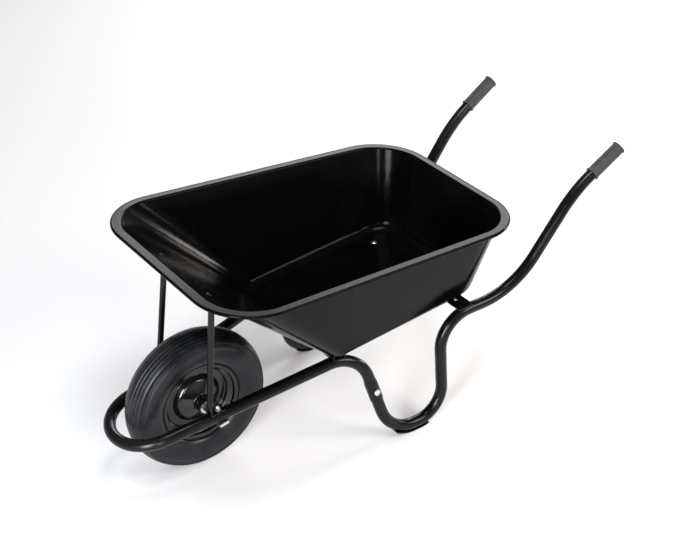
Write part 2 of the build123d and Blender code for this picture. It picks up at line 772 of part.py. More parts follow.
for side_name, side in SIDES.items():
    with BuildPart() as bearing:
        washer(
            hub_end(side), bearing_radius, axle_radius + running_clearance,
            hub_half_length - bearing_width, bearing_width,
        )
    save(bearing, f"bearing_{side_name}")
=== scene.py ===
"""Looks of the builder's wheelbarrow: the frame's finishes, and its tyre, grips and fasteners in full."""

import json
import logging
import math
from dataclasses import dataclass, field
from enum import Enum
from typing import Iterable, Sequence, Union

import bpy
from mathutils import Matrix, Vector


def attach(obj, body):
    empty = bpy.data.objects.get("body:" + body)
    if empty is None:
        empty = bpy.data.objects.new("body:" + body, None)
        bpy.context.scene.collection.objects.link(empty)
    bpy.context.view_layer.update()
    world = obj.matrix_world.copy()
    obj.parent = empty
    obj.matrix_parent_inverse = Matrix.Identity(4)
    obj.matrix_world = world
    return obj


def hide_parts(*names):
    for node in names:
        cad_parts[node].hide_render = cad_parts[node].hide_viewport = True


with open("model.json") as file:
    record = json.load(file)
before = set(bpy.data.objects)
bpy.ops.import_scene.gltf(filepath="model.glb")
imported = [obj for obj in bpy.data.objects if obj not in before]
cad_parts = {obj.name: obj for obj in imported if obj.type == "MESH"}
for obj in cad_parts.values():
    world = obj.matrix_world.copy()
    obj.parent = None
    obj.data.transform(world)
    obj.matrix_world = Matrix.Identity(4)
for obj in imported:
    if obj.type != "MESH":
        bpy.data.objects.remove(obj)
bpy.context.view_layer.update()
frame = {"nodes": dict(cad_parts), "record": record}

LOG = logging.getLogger("wheelbarrow")
Outline = list[tuple[float, float]]
Colour = tuple[float, float, float]


# ---------------------------------------------------------------- shader arithmetic
class Signal:
    """A node socket that takes part in arithmetic; each operator adds its Math node."""

    def __init__(self, painter: "Painter", socket: bpy.types.NodeSocket) -> None:
        """Args:
            painter: the material being painted.
            socket: the output socket that carries the value.
        """
        self.painter = painter
        self.socket = socket

    def _math(self, operation: str, *operands: "Term") -> "Signal":
        """Add one Math node.

        Args:
            operation: the Math node's operation.
            operands: its inputs in order.

        Returns:
            The node's value.
        """
        return self.painter.node("ShaderNodeMath", {"operation": operation}, dict(enumerate(operands)))

    def __add__(self, other: "Term") -> "Signal":
        """Sum."""
        return self._math("ADD", self, other)

    __radd__ = __add__

    def __sub__(self, other: "Term") -> "Signal":
        """Difference."""
        return self._math("SUBTRACT", self, other)

    def __rsub__(self, other: "Term") -> "Signal":
        """Difference from a number."""
        return self._math("SUBTRACT", other, self)

    def __mul__(self, other: "Term") -> "Signal":
        """Product."""
        return self._math("MULTIPLY", self, other)

    __rmul__ = __mul__

    def __pow__(self, other: "Term") -> "Signal":
        """Power."""
        return self._math("POWER", self, other)

    def step(self, low: float, high: float) -> "Signal":
        """Smooth rise from 0 at the low value to 1 at the high one, or the reverse where high is lower.

        Args:
            low: the value where the result is 0.
            high: the value where the result is 1.

        Returns:
            The smoothed mask.
        """
        settings = {"interpolation_type": "SMOOTHSTEP"}
        values = {"Value": self, "From Min": low, "From Max": high}
        return self.painter.node("ShaderNodeMapRange", settings, values)


Term = Union[Signal, float, int, Sequence[float]]


class Painter:
    """One procedural material: its node tree, its coordinates and its surface shader."""

    def __init__(self, name: str) -> None:
        """Args:
            name: the material's name.
        """
        self.material = bpy.data.materials.new(name)
        self.material.use_nodes = True
        self.tree = self.material.node_tree
        self.surface = self.tree.nodes["Principled BSDF"]
        coordinates = self.tree.nodes.new("ShaderNodeTexCoord")
        self.place = Signal(self, coordinates.outputs["Object"])

    def node(self, kind: str, settings: dict[str, object], inputs: dict[Union[str, int], "Term"]) -> Signal:
        """Add any node.

        Args:
            kind: the node's type.
            settings: attributes that are set before the sockets.
            inputs: values or signals by socket name or number.

        Returns:
            The first output that is in use.
        """
        made = self.tree.nodes.new(kind)
        for key, value in settings.items():
            setattr(made, key, value)
        for key, value in inputs.items():
            self.feed(made.inputs[key], value)
        shown = [output for output in made.outputs if output.enabled]
        return Signal(self, shown[0])

    def feed(self, socket: bpy.types.NodeSocket, value: Term) -> None:
        """Link a signal to a socket, or set its number or colour."""
        if isinstance(value, Signal):
            self.tree.links.new(value.socket, socket)
        elif isinstance(value, (int, float)):
            socket.default_value = value
        else:
            numbers = list(value)
            if len(socket.default_value) > len(numbers):
                numbers.append(1.0)
            socket.default_value = numbers

    def axis(self, letter: str) -> Signal:
        """One coordinate of the object's space.

        Args:
            letter: X, Y or Z.

        Returns:
            The coordinate in metres.
        """
        split = self.tree.nodes.new("ShaderNodeSeparateXYZ")
        self.tree.links.new(self.place.socket, split.inputs[0])
        return Signal(self, split.outputs[letter])

    def noise(self, scale: float, detail: float = 2.0, stretch: Sequence[float] = (1, 1, 1),
              shift: Sequence[float] = (0, 0, 0)) -> Signal:
        """Soft random pattern.

        Args:
            scale: features per metre.
            detail: how many finer layers it has.
            stretch: factor on the scale along each axis.
            shift: where the pattern starts, in metres.

        Returns:
            Values about 0.5.
        """
        start = {"Vector": self.place, "Location": shift, "Scale": stretch}
        mapped = self.node("ShaderNodeMapping", {}, start)
        return self.node("ShaderNodeTexNoise", {}, {"Vector": mapped, "Scale": scale, "Detail": detail})

    def cells(self, scale: float) -> Signal:
        """Distance to the nearest of scattered points, in cells."""
        return self.node("ShaderNodeTexVoronoi", {}, {"Vector": self.place, "Scale": scale})

    def mix(self, factor: Term, first: Term, second: Term) -> Signal:
        """Blend two colours.

        Args:
            factor: 0 for the first, 1 for the second.
            first: colour or signal.
            second: colour or signal.

        Returns:
            The blended colour.
        """
        made = self.tree.nodes.new("ShaderNodeMix")
        made.data_type = "RGBA"
        for socket, value in zip((made.inputs[0], made.inputs[6], made.inputs[7]), (factor, first, second)):
            self.feed(socket, value)
        return Signal(self, made.outputs[2])

    def bump(self, height: Signal, distance: float, strength: float = 1.0) -> None:
        """Raise the surface by a height pattern.

        Args:
            height: the pattern, 0 to 1.
            distance: its depth in metres.
            strength: how much of it shows.
        """
        relief = {"Height": height, "Distance": distance, "Strength": strength}
        normal = self.node("ShaderNodeBump", {}, relief)
        self.feed(self.surface.inputs["Normal"], normal)

    def set(self, **sockets: Term) -> None:
        """Feed the surface shader's sockets; an underscore stands for a space."""
        for name, value in sockets.items():
            self.feed(self.surface.inputs[name.replace("_", " ")], value)


# ---------------------------------------------------------------- finishes
class Gloss(Enum):
    """How far a black coat was buffed by its maker."""

    HIGH = 0.13
    SATIN = 0.20


@dataclass(frozen=True)
class BlackCoat:
    """Black stoved coat on steel: orange peel, faint dust and hairline scratches."""

    name: str
    gloss: Gloss = Gloss.HIGH
    colour: Colour = (0.0012, 0.0012, 0.0014)
    dust_colour: Colour = (0.026, 0.025, 0.023)
    dust: float = 0.06
    peel_depth: float = 0.00005
    peel_per_metre: float = 260.0
    specular: float = 0.045

    def paint(self) -> bpy.types.Material:
        """Build the material.

        Returns:
            The finished coat.
        """
        coat = Painter(self.name)
        clouds = coat.noise(7.0, 5.0)
        specks = coat.noise(420.0, 3.0).step(0.66, 0.78)
        rubbed = coat.noise(60.0, 6.0, stretch=(0.25, 1.0, 1.0), shift=(0.3, 0.1, 0.0)).step(0.60, 0.72)
        film = clouds.step(0.42, 0.75) * self.dust
        coat.set(
            Base_Color=coat.mix(film + specks * 0.06, self.colour, self.dust_colour),
            Roughness=film * 0.55 + rubbed * 0.05 + specks * 0.10 + self.gloss.value,
            Specular_IOR_Level=self.specular,
        )
        peel = coat.noise(self.peel_per_metre, 1.5)
        coat.bump(peel + coat.noise(38.0, 1.0) * 1.6, self.peel_depth, 0.8)
        return coat.material


@dataclass(frozen=True)
class TyreRubber:
    """Bluish-black vulcanised rubber with a fine grain and dust towards the tread."""

    name: str = "tyre_rubber"
    colour: Colour = (0.0025, 0.0027, 0.0042)
    bloom: Colour = (0.015, 0.016, 0.021)
    wheel_centre: tuple[float, float] = (0.4756, 0.195)
    tread_radius: float = 0.178

    def paint(self) -> bpy.types.Material:
        """Build the material.

        Returns:
            The finished rubber.
        """
        rubber = Painter(self.name)
        forward, upward = self.wheel_centre
        across = (rubber.axis("X") - forward) ** 2 + (rubber.axis("Z") - upward) ** 2
        tread = across.step((self.tread_radius - 0.012) ** 2, (self.tread_radius + 0.012) ** 2)
        mottled = rubber.noise(26.0, 6.0)
        grain = rubber.noise(900.0, 3.0)
        dusty = mottled.step(0.40, 0.75) * (tread * 0.5 + 0.35)
        rubber.set(
            Base_Color=rubber.mix(dusty, self.colour, self.bloom),
            Roughness=mottled * 0.20 + tread * 0.05 + grain * 0.05 + 0.18,
            Specular_IOR_Level=0.30,
        )
        rubber.bump(grain + mottled * 0.8, 0.00012, 0.7)
        return rubber.material


@dataclass(frozen=True)
class GripRubber:
    """Matt charcoal grip with a close pebbled grain, polished a little where hands rub."""

    name: str = "grip_rubber"
    colour: Colour = (0.026, 0.026, 0.027)
    worn: Colour = (0.040, 0.039, 0.039)

    def paint(self) -> bpy.types.Material:
        """Build the material.

        Returns:
            The finished grip rubber.
        """
        grip = Painter(self.name)
        pebbles = grip.cells(620.0)
        patches = grip.noise(45.0, 4.0).step(0.42, 0.68)
        grip.set(
            Base_Color=grip.mix(patches * 0.6, self.colour, self.worn),
            Roughness=0.62 - patches * 0.10 + pebbles * 0.08,
            Specular_IOR_Level=0.4,
        )
        grip.bump(pebbles + grip.noise(1500.0, 2.0) * 0.5, 0.00018, 0.8)
        return grip.material


@dataclass(frozen=True)
class ZincPlate:
    """Bright zinc plate: silver with a faint straw and blue passivation and fine turning marks."""

    name: str
    colour: Colour = (0.60, 0.60, 0.59)
    straw: Colour = (0.62, 0.56, 0.44)
    blue: Colour = (0.48, 0.53, 0.60)
    roughness: float = 0.28

    def paint(self) -> bpy.types.Material:
        """Build the material.

        Returns:
            The finished plate.
        """
        plate = Painter(self.name)
        drift = plate.noise(55.0, 3.0)
        tinted = plate.mix(drift.step(0.48, 0.72) * 0.5, self.colour, self.straw)
        tinted = plate.mix(drift.step(0.46, 0.28) * 0.4, tinted, self.blue)
        fine = plate.noise(1200.0, 2.0, stretch=(1.0, 0.12, 1.0))
        plate.set(
            Base_Color=tinted,
            Metallic=1.0,
            Roughness=drift * 0.16 + fine * 0.10 + self.roughness - 0.08,
        )
        plate.bump(fine + drift * 0.4, 0.00003, 0.7)
        return plate.material


@dataclass(frozen=True)
class PlainRubber:
    """Soft black rubber or nylon that hardly shows."""

    name: str
    colour: Colour = (0.014, 0.014, 0.015)
    roughness: float = 0.5

    def paint(self) -> bpy.types.Material:
        """Build the material.

        Returns:
            The finished rubber.
        """
        rubber = Painter(self.name)
        grain = rubber.noise(500.0, 3.0)
        cloud = rubber.noise(30.0, 3.0)
        rubber.set(
            Base_Color=rubber.mix(cloud * 0.5, self.colour, [2.2 * part for part in self.colour]),
            Roughness=grain * 0.12 + cloud * 0.1 + self.roughness - 0.11,
        )
        rubber.bump(grain, 0.0001, 0.6)
        return rubber.material


@dataclass(frozen=True)
class Workshop:
    """Every finish of the barrow, by the record's material slot."""

    coats: dict[str, bpy.types.Material] = field(default_factory=dict)

    @staticmethod
    def mixed() -> "Workshop":
        """Mix every finish once."""
        frame_coat = BlackCoat(
            "frame_coat", gloss=Gloss.SATIN, dust=0.14, peel_depth=0.00004, specular=0.22
        )
        return Workshop({
            "powder_coat": BlackCoat("tray_coat").paint(),
            "frame_coat": frame_coat.paint(),
            "rim_coat": BlackCoat("rim_coat", dust=0.12, specular=0.5).paint(),
            "rubber": TyreRubber().paint(),
            "tube_rubber": PlainRubber("inner_tube_rubber").paint(),
            "grip": GripRubber().paint(),
            "spacer": PlainRubber("spacer_nylon", roughness=0.4).paint(),
            "zinc": ZincPlate("zinc_plate").paint(),
            "bearing_steel": ZincPlate("bearing_steel", straw=(0.5, 0.5, 0.5), roughness=0.24).paint(),
        })

    def dress(self, piece: bpy.types.Object, slot: str) -> None:
        """Give a piece the finish of a material slot."""
        piece.data.materials.clear()
        piece.data.materials.append(self.coats[slot])


# ---------------------------------------------------------------- modelling
class Bench:
    """The few operations by which the new pieces are modelled."""

    @staticmethod
    def clear() -> None:
        """Leave edit mode with nothing selected."""
        if bpy.context.object and bpy.context.object.mode != "OBJECT":
            bpy.ops.object.mode_set(mode="OBJECT")
        bpy.ops.object.select_all(action="DESELECT")

    @staticmethod
    def turned(name: str, centre: Vector, axis: Vector, outline: Outline, steps: int = 96,
               smooth_degrees: float = 30.0) -> bpy.types.Object:
        """Turn an outline about an axis, as on a lathe.

        Args:
            name: the new piece's name.
            centre: where the axis starts.
            axis: the axis's direction.
            outline: points as (distance along the axis, radius), closed if the last equals the first.
            steps: how many segments go round.
            smooth_degrees: edges sharper than this stay sharp.

        Returns:
            The turned piece.
        """
        along = axis.normalized()
        radial = along.orthogonal().normalized()
        points = [centre + along * height + radial * radius for height, radius in outline]
        Bench.clear()
        bpy.ops.mesh.primitive_plane_add(size=0.001, location=points[0])
        piece = bpy.context.object
        piece.name = piece.data.name = name
        bpy.ops.object.transform_apply(location=True, rotation=True, scale=True)
        bpy.ops.object.mode_set(mode="EDIT")
        bpy.ops.mesh.select_all(action="SELECT")
        bpy.ops.mesh.merge(type="CENTER")
        for start, end in zip(points, points[1:]):
            bpy.ops.mesh.extrude_vertices_move(TRANSFORM_OT_translate={"value": end - start})
        bpy.ops.mesh.select_all(action="SELECT")
        bpy.ops.mesh.spin(steps=steps, angle=math.tau, center=centre, axis=along)
        bpy.ops.mesh.select_all(action="SELECT")
        bpy.ops.mesh.remove_doubles(threshold=0.00001)
        bpy.ops.mesh.normals_make_consistent(inside=False)
        bpy.ops.object.mode_set(mode="OBJECT")
        bpy.ops.object.shade_smooth_by_angle(angle=math.radians(smooth_degrees))
        return piece

    @staticmethod
    def hexagon(name: str, centre: Vector, axis: Vector, flats: float, height: float, chamfer: float,
                bore: float = 0.0) -> bpy.types.Object:
        """Make a chamfered hexagon head or nut.

        Args:
            name: the new piece's name.
            centre: the middle of its seat.
            axis: the direction that it stands in.
            flats: its size across flats.
            height: its height.
            chamfer: the width of the bevel on its corners.
            bore: the radius of its hole, or 0.

        Returns:
            The hexagon.
        """
        Bench.clear()
        turn = axis.normalized().to_track_quat("Z", "Y").to_euler()
        middle = centre + axis.normalized() * (height / 2)
        bpy.ops.mesh.primitive_cylinder_add(
            vertices=6, radius=flats / math.sqrt(3), depth=height, location=middle, rotation=turn,
        )
        piece = bpy.context.object
        piece.name = piece.data.name = name
        bpy.ops.object.transform_apply(location=True, rotation=True, scale=True)
        if bore > 0:
            Bench.clear()
            bpy.ops.mesh.primitive_cylinder_add(
                vertices=32, radius=bore, depth=2 * height, location=middle, rotation=turn,
            )
            drill = bpy.context.object
            bpy.ops.object.transform_apply(location=True, rotation=True, scale=True)
            cut = piece.modifiers.new("bore", "BOOLEAN")
            cut.object = drill
            cut.operation = "DIFFERENCE"
            Bench.clear()
            bpy.context.view_layer.objects.active = piece
            piece.select_set(True)
            bpy.ops.object.modifier_apply(modifier="bore")
            bpy.data.objects.remove(drill)
        edge = piece.modifiers.new("chamfer", "BEVEL")
        edge.width = chamfer
        edge.segments = 3
        edge.limit_method = "ANGLE"
        Bench.clear()
        bpy.context.view_layer.objects.active = piece
        piece.select_set(True)
        bpy.ops.object.modifier_apply(modifier="chamfer")
        bpy.ops.object.shade_smooth_by_angle(angle=math.radians(30))
        return piece

    @staticmethod
    def joined(name: str, pieces: Iterable[bpy.types.Object]) -> bpy.types.Object:
        """Join pieces into one object.

        Args:
            name: the joined piece's name.
            pieces: what is joined.

        Returns:
            The joined piece.
        """
        Bench.clear()
        listed = list(pieces)
        for piece in listed:
            piece.select_set(True)
        bpy.context.view_layer.objects.active = listed[0]
        bpy.ops.object.join()
        listed[0].name = listed[0].data.name = name
        return listed[0]


def arc(centre: tuple[float, float], radius: float, start: float, end: float, count: int) -> Outline:
    """Points along an arc in an outline.

    Args:
        centre: the arc's centre as (distance along the axis, radius).
        radius: the arc's radius.
        start: its first angle in degrees, from the axis's direction.
        end: its last angle.
        count: how many points.

    Returns:
        The points.
    """
    angles = [math.radians(start + (end - start) * step / (count - 1)) for step in range(count)]
    return [(centre[0] + radius * math.cos(angle), centre[1] + radius * math.sin(angle)) for angle in angles]


# ---------------------------------------------------------------- wheel
@dataclass
class Tyre:
    """Pneumatic tyre with a ribbed tread, a bead ring on each wall and moulding whiskers. Sizes in metres."""

    centre: Vector = field(default_factory=lambda: Vector((0.4756, 0.0, 0.195)))
    radius: float = 0.195
    tread_half: float = 0.038
    shoulder: float = 0.183
    widest: float = 0.150
    half_width: float = 0.048
    bead_half: float = 0.0294
    bead_top: float = 0.1104
    bead_foot: float = 0.1019
    bead_inner: float = 0.0209
    wall: float = 0.005
    ribs: int = 7
    groove: float = 0.0030
    wall_ribs: int = 5
    wall_groove: float = 0.0016
    wall_ribbed_share: float = 0.34
    wall_steps: int = 40
    rib_steps: tuple[tuple[float, float], ...] = (
        (-0.46, 1.0), (-0.34, 0.15), (-0.28, 0.0), (0.28, 0.0), (0.34, 0.15), (0.46, 1.0),
    )
    whiskers: int = 22
    whisker_lean: float = 0.9
    whisker_inset: float = 0.003
    whisker_stand: float = 0.001

    def crown(self, across: float) -> float:
        """Radius of the tread's arc at a distance from the middle."""
        drop = self.radius - self.shoulder
        bend = (self.tread_half ** 2 + drop ** 2) / (2 * drop)
        return self.radius - bend + math.sqrt(bend ** 2 - across ** 2)

    def half_outline(self) -> Outline:
        """The outer surface from the middle of the tread to the bead's foot."""
        points: Outline = []
        pitch = self.tread_half / (self.ribs / 2)
        for rib in range(self.ribs):
            middle = (rib - (self.ribs - 1) / 2) * pitch
            for offset, depth in self.rib_steps:
                across = middle + offset * pitch
                if across >= 0:
                    points.append((across, self.crown(across) - depth * self.groove))
        shoulder = (self.tread_half, self.shoulder)
        bulge = (self.half_width, self.widest)
        foot = (self.bead_half, self.bead_top)
        for index in range(1, self.wall_steps + 1):
            part = index / self.wall_steps
            if part < 0.5:
                mix = part * 2
                across = shoulder[0] + (bulge[0] - shoulder[0]) * math.sin(mix * math.pi / 2)
                radius = bulge[1] + (shoulder[1] - bulge[1]) * math.cos(mix * math.pi / 2)
            else:
                mix = (part - 0.5) * 2
                across = foot[0] + (bulge[0] - foot[0]) * math.cos(mix * math.pi / 2)
                radius = bulge[1] - (bulge[1] - foot[1]) * math.sin(mix * math.pi / 2)
            if part < self.wall_ribbed_share:
                wave = math.cos(part / self.wall_ribbed_share * math.tau * self.wall_ribs)
                across -= self.wall_groove * (0.5 - 0.5 * wave)
            points.append((across, radius))
        points += [(self.bead_half, self.bead_foot), (self.bead_inner, self.bead_foot)]
        return points

    def inner_outline(self) -> Outline:
        """The hollow's surface from one bead to the other, just inside the outer one."""
        side = [
            (self.bead_inner, self.bead_top),
            (self.half_width - self.wall, self.widest),
            (self.tread_half - self.wall, self.shoulder - self.wall),
        ]
        mirrored = [(-across, radius) for across, radius in reversed(side)]
        return side + [(0.0, self.radius - 2 * self.wall)] + mirrored

    def build(self, shop: Workshop) -> list[bpy.types.Object]:
        """Model the tyre and its whiskers.

        Args:
            shop: the finishes.

        Returns:
            The finished pieces.
        """
        half = self.half_outline()
        mirrored = [(-across, radius) for across, radius in reversed(half)]
        closed = mirrored + half + self.inner_outline()
        tyre = Bench.turned("tyre_ribbed", self.centre, Vector((0, 1, 0)), closed + closed[:1], steps=144)
        shop.dress(tyre, "rubber")
        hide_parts("tyre")
        whiskers = []
        for index in range(self.whiskers):
            angle = math.tau * index / self.whiskers
            side = 1 if index % 2 else -1
            reach = Vector((math.cos(angle), 0, math.sin(angle)))
            outward = Vector((0, side * (self.tread_half + self.whisker_stand), 0))
            root = self.centre + reach * (self.shoulder - self.whisker_inset) + outward
            lean = (reach + Vector((0, side * self.whisker_lean, 0))).normalized()
            outline = [(-0.001, 0.0), (-0.001, 0.0007), (0.0032, 0.0005), (0.0036, 0.0)]
            whiskers.append(Bench.turned("tyre_whisker", root, lean, outline, steps=6))
        nibs = Bench.joined("tyre_whiskers", whiskers)
        shop.dress(nibs, "rubber")
        for piece in (tyre, nibs):
            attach(piece, "wheel")
        return [tyre, nibs]


# ---------------------------------------------------------------- hand grips
@dataclass
class Grip:
    """Moulded hand grip: a stop flange, close rings, a rounded closed end. Sizes in metres."""

    side: str
    end: tuple[float, float, float] = (-0.7150, 0.2625, 0.6635)
    knee: tuple[float, float, float] = (-0.5687, 0.25645, 0.5734)
    length: float = 0.106
    radius: float = 0.0179
    lip: float = 0.0200
    lip_width: float = 0.004
    bore: float = 0.01605
    end_wall: float = 0.004
    rings: int = 24
    ring_depth: float = 0.0005

    def line(self) -> tuple[Vector, Vector]:
        """The grip's axis, which is the last straight of its handle.

        Returns:
            The middle of the closed end and the unit direction towards the tray.
        """
        sign = 1 if self.side == "left" else -1
        end = Vector((self.end[0], sign * self.end[1], self.end[2]))
        knee = Vector((self.knee[0], sign * self.knee[1], self.knee[2]))
        return end, (knee - end).normalized()

    def outline(self) -> Outline:
        """The grip's section from its closed end's middle round to the bore's end."""
        points: Outline = [(0.0, 0.0), (0.0, self.lip - 0.0016)]
        points += arc((0.0016, self.lip - 0.0016), 0.0016, 180, 90, 6)[1:]
        points += arc((self.lip_width - 0.001, self.lip - 0.001), 0.001, 90, 0, 4)
        body = self.length - 2 * self.lip_width
        points.append((self.lip_width + 0.001, self.radius))
        for ring in range(self.rings):
            start = self.lip_width + 0.006 + (body - 0.012) * ring / self.rings
            pitch = (body - 0.012) / self.rings
            points += [
                (start, self.radius), (start + 0.18 * pitch, self.radius - self.ring_depth),
                (start + 0.36 * pitch, self.radius),
            ]
        flange = self.length - self.lip_width
        points.append((flange - 0.001, self.radius))
        points += arc((flange + 0.001, self.lip - 0.001), 0.001, 180, 90, 4)
        points += arc((self.length - 0.001, self.lip - 0.001), 0.001, 90, 0, 4)
        points += [(self.length, self.bore), (self.end_wall, self.bore), (self.end_wall, 0.0)]
        return points

    def build(self, shop: Workshop) -> bpy.types.Object:
        """Model the grip.

        Args:
            shop: the finishes.

        Returns:
            The finished grip.
        """
        end, inward = self.line()
        grip = Bench.turned(f"hand_grip_{self.side}", end, inward, self.outline(), steps=72)
        shop.dress(grip, "grip")
        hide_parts(f"grip_{self.side}")
        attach(grip, "frame")
        return grip


# ---------------------------------------------------------------- fasteners
class Head(Enum):
    """The kinds of bolt head on the barrow."""

    CUP = "cup"
    HEXAGON = "hexagon"
    SOCKET = "socket"


@dataclass(frozen=True)
class Seat:
    """Where one bolt sits: the middle of its head's seat and the direction that its head faces."""

    place: Vector
    facing: Vector


@dataclass
class Bolts:
    """All bolts of one kind: head, shank and threaded end. Sizes in metres."""

    node: str
    head: Head
    below: float
    radius: float = 0.004
    head_radius: float = 0.0085
    head_height: float = 0.0032
    flats: float = 0.013
    socket_radius: float = 0.0029
    socket_depth: float = 0.0022
    pitch: float = 0.00125
    thread_depth: float = 0.0005
    threaded: float = 0.012
    edge: float = 0.0006
    dome_share: float = 0.97

    def shank(self, seat: Seat) -> bpy.types.Object:
        """The round shank with its threaded, chamfered end."""
        end = -self.below
        outline: Outline = [(end, 0.0), (end, self.radius - 0.001), (end + 0.001, self.radius)]
        for turn in range(int(self.threaded / self.pitch)):
            start = end + 0.001 + turn * self.pitch
            root = (start + self.pitch / 2, self.radius - self.thread_depth)
            outline += [root, (start + self.pitch, self.radius)]
        outline += [(0.0, self.radius), (0.0, 0.0)]
        return Bench.turned(self.node + "_shank", seat.place, seat.facing, outline, steps=24)

    def dome(self, seat: Seat) -> bpy.types.Object:
        """A domed head, with a socket sunk in it where the kind has one."""
        rise = self.head_height
        bend = (self.head_radius ** 2 + rise ** 2) / (2 * rise)
        reach = math.degrees(math.asin(self.head_radius / bend))
        inner = 0.0
        if self.head is Head.SOCKET:
            inner = math.degrees(math.asin(self.socket_radius / bend))
        top = arc((rise - bend, 0.0), bend, reach * self.dome_share, inner, 12)
        outline = [(0.0, 0.0), (0.0, self.head_radius)] + top
        if self.head is Head.SOCKET:
            floor = rise - self.socket_depth
            outline += [(floor, self.socket_radius), (floor - self.edge, 0.0)]
        return Bench.turned(self.node + "_head", seat.place, seat.facing, outline, steps=40)

    def build(self, seats: Sequence[Seat], shop: Workshop, slot: str) -> bpy.types.Object:
        """Model the bolts in place of the frame's plain ones.

        Args:
            seats: where they sit.
            shop: the finishes.
            slot: their material slot.

        Returns:
            The bolts as one piece.
        """
        made = []
        for seat in seats:
            if self.head is Head.HEXAGON:
                made.append(Bench.hexagon(
                    self.node, seat.place, seat.facing, self.flats, self.head_height, self.edge
                ))
            else:
                made.append(self.dome(seat))
            made.append(self.shank(seat))
        bolts = Bench.joined(self.node + "_turned", made)
        shop.dress(bolts, slot)
        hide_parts(self.node)
        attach(bolts, "frame")
        return bolts


def node_solids(node: str) -> list[list[Vector]]:
    """The corners of each separate half of a node that has one solid on each side of the barrow.

    Args:
        node: the frame's node.

    Returns:
        The left solid's corners, then the right one's.
    """
    corners = [vertex.co.copy() for vertex in frame["nodes"][node].data.vertices]
    return [[corner for corner in corners if corner.y > 0], [corner for corner in corners if corner.y < 0]]


def bolt_seats(node: str, facing: Vector, head_height: float) -> list[Seat]:
    """Read where a pair of bolts sits from the frame's plain ones.

    Args:
        node: the frame's node, with one bolt on each side.
        facing: the direction that the left bolt's head faces; the right one's is its mirror image.
        head_height: how far the seat lies below the head's top.

    Returns:
        The left seat and the right seat.
    """
    seats = []
    for side, corners in zip((1, -1), node_solids(node)):
        axis = Vector((facing.x, side * facing.y, facing.z)).normalized()
        reach = max(corner.dot(axis) for corner in corners)
        rim = [corner for corner in corners if corner.dot(axis) > reach - 0.0002]
        middle = sum(rim, Vector()) / len(rim)
        seats.append(Seat(middle - axis * head_height, axis))
    return seats


def nut_seats(node: str, facing: Vector) -> list[Seat]:
    """Read where a pair of nuts sits from the frame's plain ones.

    Args:
        node: the frame's node, with one nut on each side.
        facing: the direction of the left nut's axis, away from what it clamps.

    Returns:
        The left seat and the right seat.
    """
    seats = []
    for side, corners in zip((1, -1), node_solids(node)):
        axis = Vector((facing.x, side * facing.y, facing.z)).normalized()
        depth = min(corner.dot(axis) for corner in corners)
        rim = [corner for corner in corners if corner.dot(axis) < depth + 0.0002]
        seats.append(Seat(sum(rim, Vector()) / len(rim), axis))
    return seats


@dataclass
class Nuts:
    """A pair of chamfered nuts. Sizes in metres."""

    node: str
    flats: float = 0.013
    height: float = 0.0065
    bore: float = 0.00405
    chamfer: float = 0.0006

    def build(self, seats: Sequence[Seat], shop: Workshop) -> bpy.types.Object:
        """Model the nuts in place of the frame's plain ones.

        Args:
            seats: where they sit.
            shop: the finishes.

        Returns:
            The nuts as one piece.
        """
        made = [
            Bench.hexagon(
                self.node, seat.place, seat.facing, self.flats, self.height, self.chamfer, self.bore
            )
            for seat in seats
        ]
        nuts = Bench.joined(self.node + "_chamfered", made)
        shop.dress(nuts, "zinc")
        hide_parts(self.node)
        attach(nuts, "frame")
        return nuts


@dataclass
class Fasteners:
    """Every bolt and nut, with the directions of their axes on the left side. Angles in degrees."""

    floor_slope: float = 5.36
    wall_slope: float = 41.27
    rail_slope: float = 10.5
    joint_axis: tuple[float, float, float] = (0.0448, 0.9835, 0.1755)
    floor_bolt_reach: float = 0.0140
    front_bolt_reach: float = 0.0150
    joint_bolt_reach: float = 0.0485
    axle_bolt_reach: float = 0.0551
    joint_head_radius: float = 0.007
    joint_head_height: float = 0.004
    joint_socket_radius: float = 0.0034
    axle_head_height: float = 0.0053

    def build(self, shop: Workshop) -> list[bpy.types.Object]:
        """Model the bolts and nuts.

        Args:
            shop: the finishes.

        Returns:
            The finished pieces.
        """
        floor_up = tilted_up(self.floor_slope)
        wall_up = tilted_up(-self.wall_slope)
        rail_up = tilted_up(self.rail_slope)
        outward = Vector(self.joint_axis)
        cup_height = Bolts("", Head.CUP, 0.0).head_height
        floor_seats = bolt_seats("tray_floor_bolts", floor_up, cup_height)
        front_seats = bolt_seats("tray_front_bolts", wall_up, cup_height)
        joint_seats = bolt_seats("leg_joint_bolts", outward, self.joint_head_height)
        axle_seats = bolt_seats("axle_bolts", -rail_up, self.axle_head_height)
        floor_bolts = Bolts("tray_floor_bolts", Head.CUP, self.floor_bolt_reach)
        front_bolts = Bolts("tray_front_bolts", Head.CUP, self.front_bolt_reach)
        joint_bolts = Bolts(
            "leg_joint_bolts",
            Head.SOCKET,
            self.joint_bolt_reach,
            head_radius=self.joint_head_radius,
            head_height=self.joint_head_height,
            socket_radius=self.joint_socket_radius,
        )
        axle_bolts = Bolts(
            "axle_bolts", Head.HEXAGON, self.axle_bolt_reach, head_height=self.axle_head_height
        )
        return [
            floor_bolts.build(floor_seats, shop, "zinc"),
            front_bolts.build(front_seats, shop, "powder_coat"),
            joint_bolts.build(joint_seats, shop, "zinc"),
            axle_bolts.build(axle_seats, shop, "zinc"),
            Nuts("axle_nuts").build(nut_seats("axle_nuts", rail_up), shop),
            Nuts("tray_floor_nuts").build(nut_seats("tray_floor_nuts", -floor_up), shop),
            Nuts("tray_front_nuts").build(nut_seats("tray_front_nuts", -wall_up), shop),
            Nuts("leg_joint_nuts").build(nut_seats("leg_joint_nuts", -outward), shop),
        ]


def tilted_up(degrees: float) -> Vector:
    """The upward normal of a face that falls towards the wheel by an angle."""
    return Vector((math.sin(math.radians(degrees)), 0.0, math.cos(math.radians(degrees))))


